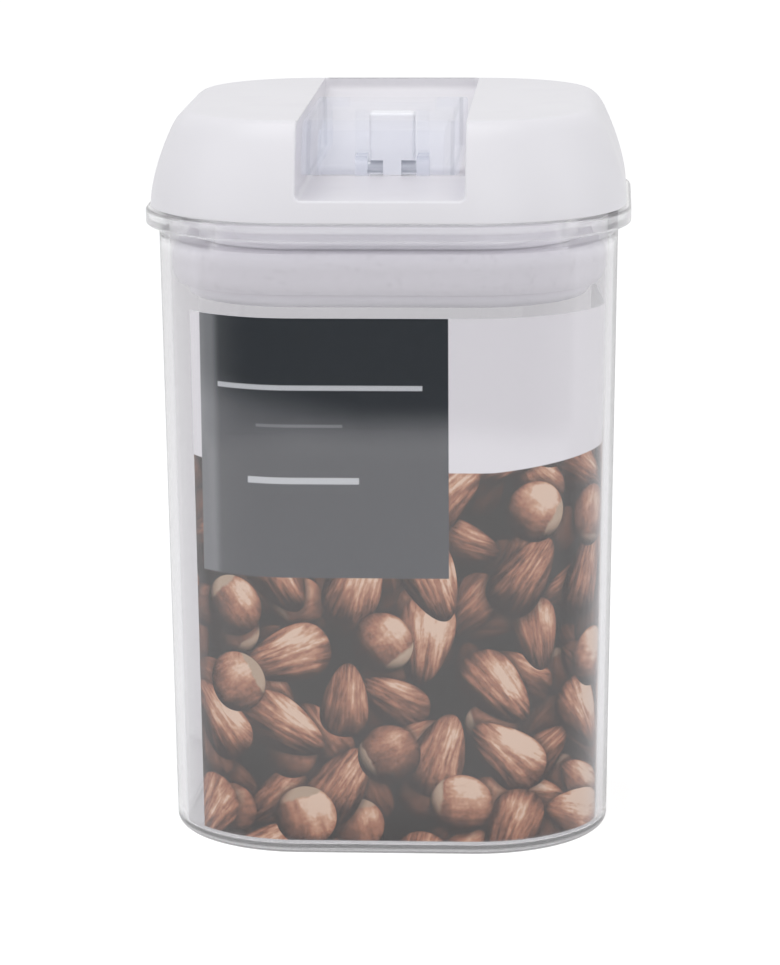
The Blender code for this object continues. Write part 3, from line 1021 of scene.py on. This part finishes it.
@dataclass
class Jar:
    """The clear jar and the printed wrap in it."""

    wall: float = 0.002
    floor: float = 0.0018
    draft: float = 0.0018
    rim_overhang: float = 0.0026
    rim_depth: float = 0.0033
    rim_round: float = 0.0006
    foot_round: float = 0.002
    inner_round: float = 0.0005
    wrap_thickness: float = 0.0003
    wrap_left_turn: float = math.radians(51)

    def __post_init__(self) -> None:
        """Read the outer sizes from the frame."""
        _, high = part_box("jar_body")
        self.height = high.z
        self.rim_half = high.x
        self.wrap_low, self.wrap_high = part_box("label_insert")

    def outer_half(self, height: float) -> float:
        """Return the outer half width at a height, on the jar's draft."""
        return self.rim_half - self.rim_overhang - self.draft * (1 - height / self.height)

    def inner_half(self, height: float) -> float:
        """Return the inner half width at a height."""
        return self.outer_half(height) - self.wall

    def wrap_radius(self, height: float) -> float:
        """Return the radius of the wrap's corners at a height."""
        return self.inner_half(height) - GAP - FLAT_HALF

    def profile(self) -> list[Point]:
        """Draw the wall's profile from the base, over the rim, to the floor.

        Returns:
            Its half widths and heights.
        """
        rim, foot, corner = self.rim_round, self.foot_round, self.inner_round
        under, top, inside = self.height - self.rim_depth, self.height - rim, self.floor + corner
        arcs = (
            ((self.outer_half(foot) - foot, foot), foot, -90, 0, 6),
            ((self.outer_half(under) + rim, under - rim), rim, 180, 90, 3),
            ((self.rim_half - rim, under + rim), rim, -90, 0, 4),
            ((self.rim_half - rim, top), rim, 0, 90, 4),
            ((self.inner_half(self.height) + rim, top), rim, 90, 180, 4),
            ((self.inner_half(inside) - corner, inside), corner, 0, -90, 5),
        )
        return [point for numbers in arcs for point in arc(*numbers)]

    def wrap_place(self, point: Vector) -> Point:
        """Return how far along and how high on the wrap a point lies.

        Args:
            point: The point.

        Returns:
            Its place on the wrap's map.
        """
        radius = self.wrap_radius(point.z)
        over = abs(point.x) - FLAT_HALF
        if over <= 0:
            return point.x, point.z
        if point.x > 0 and point.y > -FLAT_HALF:
            return FLAT_HALF + QUARTER * radius + point.y + FLAT_HALF, point.z
        angle = math.atan2(over, -FLAT_HALF - point.y)
        return math.copysign(FLAT_HALF + angle * radius, point.x), point.z

    def make_wrap(self) -> None:
        """Model the wrap, map the print along it and dress both its faces."""
        side, front = math.sin(self.wrap_left_turn), math.cos(self.wrap_left_turn)
        ends = []
        for height in (self.wrap_low.z, self.wrap_high.z):
            radius = self.wrap_radius(height)
            ends.append(Vector((-FLAT_HALF - side * radius, -FLAT_HALF - front * radius, height)))
        wrap = chain(ends)
        spin(-self.wrap_left_turn, Vector((-FLAT_HALF, -FLAT_HALF, 0.0)))
        extrude(Vector((2 * FLAT_HALF, 0, 0)))
        spin(-QUARTER, Vector((FLAT_HALF, -FLAT_HALF, 0.0)))
        extrude(Vector((0, self.wrap_high.y + FLAT_HALF, 0)))
        merge_doubles(MERGE)
        finish_shell()
        layer = wrap.data.uv_layers.new(name="wrap")
        for loop in wrap.data.loops:
            layer.data[loop.index].uv = self.wrap_place(wrap.data.vertices[loop.vertex_index].co)
        wrap.data.materials.append(PRINT.make())
        wrap.data.materials.append(CARD_BACK.make())
        if wrap.data.polygons[0].normal.dot(Vector((-1, -1, 0))) < 0:
            wrap.data.flip_normals()
        modify(
            wrap, "SOLIDIFY", thickness=self.wrap_thickness, offset=-1.0,
            use_even_offset=True, material_offset=1, material_offset_rim=1,
        )
        dress(wrap, "wrap_card", None, "label_insert", Body.JAR)

    def build(self) -> None:
        """Make both pieces."""
        dress(sweep(self.profile()), "jar_clear", CLEAR_JAR, "jar_body", Body.JAR)
        self.make_wrap()


@dataclass
class Cover:
    """The white cover with its lever pocket, and the inner lid under it."""

    wall: float = 0.0018
    side_height: float = 0.0152
    side_lean: float = 0.0043
    side_curve: float = 1.65
    shoulder_reach: float = 0.0042
    side_steps: int = 10
    shoulder_steps: int = 12
    pocket_side_gap: float = 0.0011
    pocket_wall: float = 0.0016
    pocket_round: float = 0.0019
    pocket_round_steps: int = 6
    pocket_angle: float = 25.0
    shelf_rise: float = 0.0044
    well_front: float = 0.009
    raised_gap: float = 0.0023
    ramp_foot_rise: float = 0.002
    back_margin: float = 0.0003
    lip: float = 0.0023
    cam_radius: float = 0.00415
    edge_round: float = 0.0005
    rod_half_width: float = 0.0046
    rod_half_depth: float = 0.0026
    band_inset: float = 0.0044
    neck_step: float = 0.0052
    mouth_band: float = 0.0022
    inner_wall: float = 0.0016
    inner_floor: float = 0.0018
    chamfer: float = 0.0006

    def __post_init__(self) -> None:
        """Read the outer sizes from the frame."""
        _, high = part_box("lid_shell")
        self.half = high.x
        self.top = high.z
        self.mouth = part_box("jar_body")[1].z
        self.base = self.mouth + GAP
        pin_low, pin_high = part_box("pivot_pin")
        self.pin_z = (pin_low.z + pin_high.z) / 2
        self.top_half = self.half - self.side_lean - self.shoulder_reach
        self.floor = self.pin_z - self.cam_radius - GAP
        self.shelf = self.base + self.shelf_rise
        self.well_back = self.top - self.pin_z + self.raised_gap
        self.pocket_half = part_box("lever")[1].x + self.pocket_side_gap
        self.pocket_back = self.top_half - self.back_margin

    def profile(self) -> list[Point]:
        """Draw the cover's outer side and shoulder, from its edge to its flat top.

        Returns:
            Their half widths and heights.
        """
        points = []
        for step in range(self.side_steps + 1):
            share = step / self.side_steps
            lean = self.side_lean * share**self.side_curve
            points.append((self.half - lean, self.base + self.side_height * share))
        side_half, side_z = points[-1]
        slope = self.side_curve * self.side_lean / self.side_height
        reach = side_half - self.top_half
        rise = self.top - side_z
        start = math.asin(slope / (reach / rise - slope))
        across = reach / math.cos(start)
        up = rise / (1 - math.sin(start))
        for step in range(1, self.shoulder_steps + 1):
            angle = start + (QUARTER - start) * step / self.shoulder_steps
            points.append((self.top_half + across * math.cos(angle), self.top - up + up * math.sin(angle)))
        return points

    def inset_profile(self, depth: float) -> list[Point]:
        """Return the profile moved in, square to its surface.

        Args:
            depth: How far it moves.

        Returns:
            The moved points.
        """
        points = self.profile()
        moved = []
        for index, (half, height) in enumerate(points[:-1]):
            before, after = points[max(index - 1, 0)], points[index + 1]
            run = Vector((after[0] - before[0], after[1] - before[1])).normalized()
            moved.append((half - depth * run.y, height + depth * run.x))
        return moved + [(points[-1][0], points[-1][1] - depth)]

    def pocket_outline(self, grow: float = 0.0) -> list[Point]:
        """Return the pocket in side view.

        Args:
            grow: How far its floor and walls move out.

        Returns:
            The outline's points.
        """
        front = -self.half - OVERRUN
        return [
            (front, self.shelf - grow),
            (-self.well_front - grow, self.shelf - grow),
            (-self.well_front - grow, self.floor - grow),
            (self.well_back + grow, self.floor - grow),
            (self.well_back + grow, self.floor + self.ramp_foot_rise - grow),
            (self.pocket_back + grow, self.top - self.lip - grow),
            (self.pocket_back + grow, self.top + OVERRUN),
            (front, self.top + OVERRUN),
        ]

    def rod_way(self, middle: float, reach: float) -> Piece:
        """Return the square hole that guides the rod, up and down from a height."""
        corner = Vector((self.rod_half_width + GAP, self.rod_half_depth + GAP, 0.0))
        return block(Vector((0, 0, middle - reach)) - corner, Vector((0, 0, middle + reach)) + corner)

    def make_cover(self) -> None:
        """Model the cover, its hollow and its pocket, and dress it."""
        cover = sweep(self.profile())
        inner = self.inset_profile(self.wall)
        hollow = sweep([(inner[0][0], self.base - OVERRUN), *inner])
        half = self.pocket_half
        wall = self.pocket_wall
        cut(hollow, slab(self.pocket_outline(wall), -half - wall, half + wall))
        cut(cover, hollow)
        low = Vector((-half - wall, -self.well_front - wall, self.floor - wall))
        high = Vector((half + wall, self.well_back + wall, self.floor + wall / 2))
        cut(cover, block(low, high), "UNION")
        pocket = slab(self.pocket_outline(), -half, half)
        soften(pocket, self.pocket_round, self.pocket_round_steps, self.pocket_angle)
        cut(cover, pocket)
        cut(cover, self.rod_way(self.floor, OVERRUN))
        round_rim(cover, self.on_pocket_rim, self.edge_round)
        round_rim(cover, self.on_rear_rim, self.back_margin / 2)
        round_rim(cover, self.on_base_edge, self.edge_round / 2)
        dress(cover, "cover", WHITE_COVER, "lid_shell", Body.LID)

    def on_pocket_rim(self, point: Vector) -> bool:
        """Return whether a point of the cover lies round the pocket's opening."""
        beside = abs(point.x) < self.pocket_half + GAP
        return beside and point.y < self.pocket_back - self.pocket_round and point.z > self.shelf - GAP

    def on_rear_rim(self, point: Vector) -> bool:
        """Return whether a point of the cover lies on the rear edge of the pocket's opening."""
        behind = self.pocket_back - self.pocket_round - GAP < point.y < self.pocket_back + MERGE
        return behind and abs(point.x) < self.pocket_half + GAP and point.z > self.top - GAP

    def on_base_edge(self, point: Vector) -> bool:
        """Return whether a point of the cover lies on its lower edge."""
        return abs(point.z - self.base) < MERGE

    def make_inner_lid(self) -> None:
        """Model the stepped inner lid and dress it."""
        low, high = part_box("inner_lid")
        chamfer, wall = self.chamfer, self.inner_wall
        spigot = high.x
        band = self.half - self.band_inset
        neck = band - self.neck_step
        band_bottom = self.mouth - self.mouth_band
        profile = arc((neck - chamfer, low.z + chamfer), chamfer, -90, 0, 3)
        profile += [(neck, band_bottom)]
        profile += arc((band - chamfer, band_bottom + chamfer), chamfer, -90, 0, 3)
        profile += [(band, self.base), (spigot, self.base)]
        profile += arc((spigot - chamfer, high.z - chamfer), chamfer, 0, 90, 3)
        profile += [
            (spigot - wall, high.z),
            (band - wall, self.base + chamfer),
            (band - wall, band_bottom + wall),
            (neck - wall, band_bottom + wall),
            (neck - wall, low.z + self.inner_floor),
        ]
        tray = sweep(profile)
        cut(tray, self.rod_way(low.z, OVERRUN / 2))
        dress(tray, "inner_tray", WHITE_INNER_PAINTED_LIGHT, "inner_lid", Body.LID)

    def build(self) -> None:
        """Make both pieces."""
        self.make_cover()
        self.make_inner_lid()


@dataclass
class Seal:
    """The seal ring and the pressure plate that squeezes it."""

    inner_half: float = 0.034
    bulge: float = 0.0012
    steps: int = 14
    plate_round: float = 0.0022
    plate_floor: float = 0.0018
    plate_edge: float = 0.0026
    rim_wall: float = 0.0016
    chamfer: float = 0.0006

    def make_ring(self) -> None:
        """Model the ring, bulged against the wall, and dress it."""
        low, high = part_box("gasket")
        profile = []
        for step in range(self.steps + 1):
            share = step / self.steps
            swell = 1 - abs(2 * share - 1) ** 3
            profile.append((high.x - self.bulge * (1 - swell), low.z + (high.z - low.z) * share))
        ring = sweep([*profile, (self.inner_half, high.z), (self.inner_half, low.z)], closed=True)
        dress(ring, "seal_ring", MILKY_SEAL, "gasket", None)
        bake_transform(ring)

    def make_plate(self, cover: Cover) -> None:
        """Model the dished plate, with the cover's way for the rod in it, and dress it.

        Args:
            cover: The cover that the piece is fitted to.
        """
        low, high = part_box("pressure_plate")
        rounding = self.plate_round
        rim = self.inner_half - GAP
        top = low.z + self.plate_edge
        profile = arc((high.x - rounding, low.z + rounding), rounding, -90, 0, 6)
        profile += [(high.x, top), (rim, top)]
        profile += arc((rim - self.chamfer, high.z - self.chamfer), self.chamfer, 0, 90, 3)
        profile += [(rim - self.rim_wall, high.z), (rim - self.rim_wall, low.z + self.plate_floor)]
        plate = sweep(profile)
        cut(plate, cover.rod_way(low.z, OVERRUN / 2))
        dress(plate, "squeeze_plate", WHITE_INNER_PAINTED_LIGHT, "pressure_plate", Body.ROD)

    def build(self, cover: Cover) -> None:
        """Make both pieces."""
        self.make_ring()
        self.make_plate(cover)


@dataclass
class Lever:
    """The clear lever, its pin and the pull rod."""

    wall: float = 0.002
    side_wall: float = 0.003
    back_lean: float = 0.0003
    lip_rise: float = 0.0092
    ear_rod_gap: float = 0.0004
    ear_thickness: float = 0.0025
    ear_front: float = 0.0034
    cam_fall: float = 0.001
    edge_round: float = 0.0005
    sharp_angle: float = 50.0
    pin_gap: float = 0.0003
    pin_sides: int = 48
    neck_width: float = 0.0037
    neck_below: float = 0.0017
    neck_above: float = 0.0016
    foot_thickness: float = 0.0013
    rod_edge: float = 0.0006
    swing: float = math.radians(90)
    cam_steps: int = 16

    def __post_init__(self) -> None:
        """Read the pin's and the lever's places from the frame."""
        low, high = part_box("pivot_pin")
        self.pin_radius = (high.z - low.z) / 2
        self.pin_half_length = high.x
        self.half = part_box("lever")[1].x

    def ear_outline(self, cover: Cover) -> list[Point]:
        """Return an ear in side view: the cam's foot, its back and its front.

        Args:
            cover: The cover whose pocket the cam rolls on.

        Returns:
            The outline's points.
        """
        points = []
        for step in range(self.cam_steps + 1):
            angle = self.swing * step / self.cam_steps
            reach = cover.cam_radius - self.cam_fall * angle
            y = reach * math.sin(angle) - self.cam_fall * math.cos(angle)
            z = -reach * math.cos(angle) - self.cam_fall * math.sin(angle)
            points.append((y, cover.pin_z + z))
        top = cover.top - self.wall / 2
        back = cover.cam_radius - self.cam_fall * self.swing
        points += [(back - self.back_lean, top), (-self.ear_front, top)]
        return points + [(-self.ear_front, cover.pin_z - cover.cam_radius + self.ear_front / 2)]

    def side_outline(self, points: list[Point], lip: float, back: float) -> list[Point]:
        """Return the lever's side view under a curve of the cover.

        Args:
            points: The curve, from the cover's edge to its top.
            lip: The height of the lever's lower edge.
            back: Its rear end.

        Returns:
            The outline's points, from the lip over the top to the back.
        """
        above = [(-half, height) for half, height in points if height > lip + MERGE]
        first, second = points[-len(above) - 1], points[-len(above)]
        share = (lip - first[1]) / (second[1] - first[1])
        start = first[0] + (second[0] - first[0]) * share
        return [(-start, lip), *above, (back, above[-1][1]), (back, lip)]

    def make_lever(self, cover: Cover) -> None:
        """Model the lever, hollow under its top, with two cam ears, and dress it.

        Args:
            cover: The cover that the piece is fitted to.
        """
        back = cover.cam_radius - self.cam_fall * self.swing - self.back_lean
        lip = cover.base + self.lip_rise
        hollow_half = self.half - self.side_wall
        lever = slab(self.side_outline(cover.profile(), lip, back), -self.half, self.half)
        inside = self.side_outline(cover.inset_profile(self.wall), lip - OVERRUN / 2, back + OVERRUN)
        cut(lever, slab(inside, -hollow_half, hollow_half))
        soften(lever, self.edge_round, 3, self.sharp_angle)
        inner = cover.rod_half_width + self.ear_rod_gap
        for side in (-1, 1):
            ends = sorted((side * inner, side * (inner + self.ear_thickness)))
            cut(lever, slab(self.ear_outline(cover), *ends), "UNION")
        cut(lever, bar(cover.pin_z, self.pin_radius + self.pin_gap, 2 * (self.pin_half_length + self.wall)))
        dress(lever, "flip_lever", CLEAR_LEVER, "lever", Body.LEVER)

    def make_pin(self, cover: Cover) -> None:
        """Model the pin with rounded ends and dress it.

        Args:
            cover: The cover that the piece is fitted to.
        """
        pin = bar(cover.pin_z, self.pin_radius, 2 * self.pin_half_length, self.pin_sides)
        soften(pin, GAP, 3, self.sharp_angle)
        dress(pin, "hinge_pin", PIN_STEEL, "pivot_pin", Body.ROD)

    def make_rod(self, cover: Cover) -> None:
        """Model the pull rod with its foot, neck and head, and dress it.

        Args:
            cover: The cover that the piece is fitted to.
        """
        low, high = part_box("pull_rod")
        width, depth = cover.rod_half_width, cover.rod_half_depth
        rod = block(Vector((-width, -depth, low.z)), Vector((width, depth, high.z)), self.rod_edge)
        foot_high = Vector((high.x, high.y, low.z + self.foot_thickness))
        cut(rod, block(low, foot_high, self.rod_edge), "UNION")
        for side in (-1, 1):
            ends = sorted((side * self.neck_width / 2, side * (width + OVERRUN)))
            neck_low = Vector((ends[0], -depth - OVERRUN, cover.pin_z - self.neck_below))
            neck_high = Vector((ends[1], depth + OVERRUN, cover.pin_z + self.neck_above))
            cut(rod, block(neck_low, neck_high))
        cut(rod, bar(cover.pin_z, self.pin_radius + self.pin_gap, 2 * self.neck_width))
        dress(rod, "lift_rod", WHITE_ROD_PAINTED_LIGHT, "pull_rod", Body.ROD)

    def build(self, cover: Cover) -> None:
        """Make the three pieces.

        Args:
            cover: The cover that they are fitted to.
        """
        self.make_lever(cover)
        self.make_pin(cover)
        self.make_rod(cover)


@dataclass(frozen=True)
class Lamp:
    """A square lamp that looks at the canister."""

    name: str
    place: Triple
    size: float
    power: float


@dataclass
class Studio:
    """The pale floor, the soft lamps and the camera."""

    image_width: int = 780
    image_height: int = 965
    focal_pixels: float = 3871.16
    centre_shift: Point = (4.686, 6.246)
    distance: float = 0.786355
    eye_height: float = 0.233183
    azimuth: float = 0.0547061
    pitch: float = 0.2099294
    roll: float = -0.0057904
    sensor: float = 36.0
    nearest: float = 0.01
    aim_height: float = 0.07
    floor_sink: float = 0.00005
    floor_front: float = -0.55
    floor_end: Step = (0.425, 0.03)
    floor_behind: Step = (-0.05, 0.05)
    floor_reach: float = 3.0
    floor_grey: float = 0.45
    floor_roughness: float = 0.6
    floor_bounce: float = 0.4
    floor_white: float = 0.72
    floor_dimmed: float = 0.57
    floor_sheen: float = 1.2
    sheen_end: Step = (-0.08, 0.03)
    room_colour: Colour = (0.97, 0.98, 1.0)
    room_light: float = 0.7
    dim_light: float = 0.15
    dim_ahead: Step = (-0.40, 0.35)
    dim_band: Triple = (-0.27, -0.14, 0.02)
    side_light: float = 0.66
    side_ahead: Step = (0.45, 0.45)
    white_light: float = 0.8
    first_mirror: Step = (0.5, 0.1)
    lamps: tuple[Lamp, ...] = (
        Lamp("top_lamp", (-0.15, -0.25, 0.95), 0.9, 3.1),
        Lamp("left_lamp", (-0.90, -0.35, 0.45), 0.7, 0.8),
        Lamp("right_lamp", (0.90, -0.20, 0.40), 0.7, 0.9),
        Lamp("front_lamp", (0.35, -1.00, 0.35), 0.6, 0.85),
    )

    def add_camera(self) -> None:
        """Set the camera that the photograph was taken from."""
        longest = max(self.image_width, self.image_height)
        data = bpy.data.cameras.new("camera")
        data.sensor_width = self.sensor
        data.lens = self.focal_pixels / longest * self.sensor
        data.shift_x = -self.centre_shift[0] / longest
        data.shift_y = self.centre_shift[1] / longest
        data.clip_start = self.nearest
        round_about = Matrix.Rotation(self.azimuth, 4, "Z")
        eye = Matrix.Translation((0.0, -self.distance, self.eye_height))
        tilt = Matrix.Rotation(QUARTER - self.pitch, 4, "X") @ Matrix.Rotation(self.roll, 4, "Z")
        bpy.context.scene.camera = self.hang("camera", data, round_about @ eye @ tilt)

    def add_lamp(self, lamp: Lamp) -> None:
        """Hang a lamp that looks at the canister.

        Args:
            lamp: Its name, place, size and power.
        """
        data = bpy.data.lights.new(lamp.name, "AREA")
        data.size = lamp.size
        data.energy = lamp.power
        place = Vector(lamp.place)
        aim = Vector((0.0, 0.0, self.aim_height)) - place
        turn = aim.to_track_quat("-Z", "Y").to_matrix().to_4x4()
        self.hang(lamp.name, data, Matrix.Translation(place) @ turn)

    @staticmethod
    def hang(name: str, data: bpy.types.ID, matrix: Matrix) -> Piece:
        """Put a lamp or a camera in the scene.

        Args:
            name: Its name.
            data: The lamp or the camera.
            matrix: Its place and turn.

        Returns:
            The new object.
        """
        hung = bpy.data.objects.new(name, data)
        hung.matrix_world = matrix
        bpy.context.scene.collection.objects.link(hung)
        return hung

    def add_floor(self) -> None:
        """Lay the pale floor, which ends a little in front of the canister."""
        deselect()
        middle = (self.floor_front + self.floor_reach) / 2
        bpy.ops.mesh.primitive_plane_add(size=1.0, location=(0.0, middle, -self.floor_sink))
        floor = bpy.context.active_object
        floor.name = "floor"
        floor.scale = (self.floor_reach, self.floor_reach - self.floor_front, 1.0)
        bpy.ops.object.transform_apply()
        sheet = NodeSheet("pale_floor")
        grey = (self.floor_grey,) * 3
        sheet.set(Base_Color=grey, Roughness=self.floor_roughness, Specular_IOR_Level=0.0)
        across, along, _ = sheet.split(sheet.place)
        camera = sheet.seen_by("Camera")
        through = sheet.seen_by("Glossy", "Transmission") * (1.0 - camera)
        mirrored = sheet.seen_by("Glossy") * (1.0 - sheet.seen_by("Transmission"))
        mirrored = mirrored * along.below(*self.sheen_end)
        strength = camera * (self.floor_white - self.floor_bounce) + self.floor_bounce
        strength = strength + through * (self.floor_dimmed - self.floor_bounce)
        strength = strength + mirrored * (self.floor_sheen - self.floor_dimmed)
        glow = sheet.out("ShaderNodeEmission", {"Strength": strength})
        both = sheet.out("ShaderNodeAddShader", {0: sheet.shader.outputs[0], 1: glow})
        away = (across * across + along * along).most().math("SQRT")
        laid = away.below(*self.floor_end) + along.above(*self.floor_behind)
        sheet.feed(sheet.surface, sheet.mix_shaders(laid, sheet.out("ShaderNodeBsdfTransparent"), both))
        floor.data.materials.append(sheet.material)

    def add_world(self) -> None:
        """Light the scene from all round, with a white background and a dim place under the camera."""
        world = bpy.data.worlds.new("studio")
        world.use_nodes = True
        bpy.context.scene.world = world
        board = NodeBoard(world.node_tree)
        _, ahead, rise = board.split(board.node("ShaderNodeTexCoord").outputs["Generated"])
        dim = ahead.below(*self.dim_ahead) * rise.between(*self.dim_band)
        sides = ahead.below(*self.side_ahead) * (1.0 - self.side_light)
        depth = Value(board, board.node("ShaderNodeLightPath").outputs["Glossy Depth"])
        mirrored = depth.above(*self.first_mirror)
        camera = board.seen_by("Camera")
        strength = (1.0 - dim * mirrored * (1.0 - self.dim_light)) * (1.0 - sides) * self.white_light
        strength = strength * (1.0 - camera) + camera
        room = board.out("ShaderNodeBackground", {"Color": self.room_colour, "Strength": self.room_light})
        white = board.out("ShaderNodeBackground", {"Color": (1.0, 1.0, 1.0), "Strength": strength})
        shown = board.seen_by("Camera", "Glossy", "Transmission")
        board.node("ShaderNodeOutputWorld", {"Surface": board.mix_shaders(shown, room, white)})

    def build(self) -> None:
        """Set up the whole studio."""
        bpy.context.scene.view_settings.view_transform = "Standard"
        self.add_camera()
        self.add_floor()
        self.add_world()
        for lamp in self.lamps:
            self.add_lamp(lamp)


def main() -> None:
    """Build the studio, then the canister's pieces in order."""
    Studio().build()
    cover = Cover()
    Jar().build()
    cover.build()
    Seal().build(cover)
    Lever().build(cover)
    deselect()


if __name__ == "__main__":
    main()
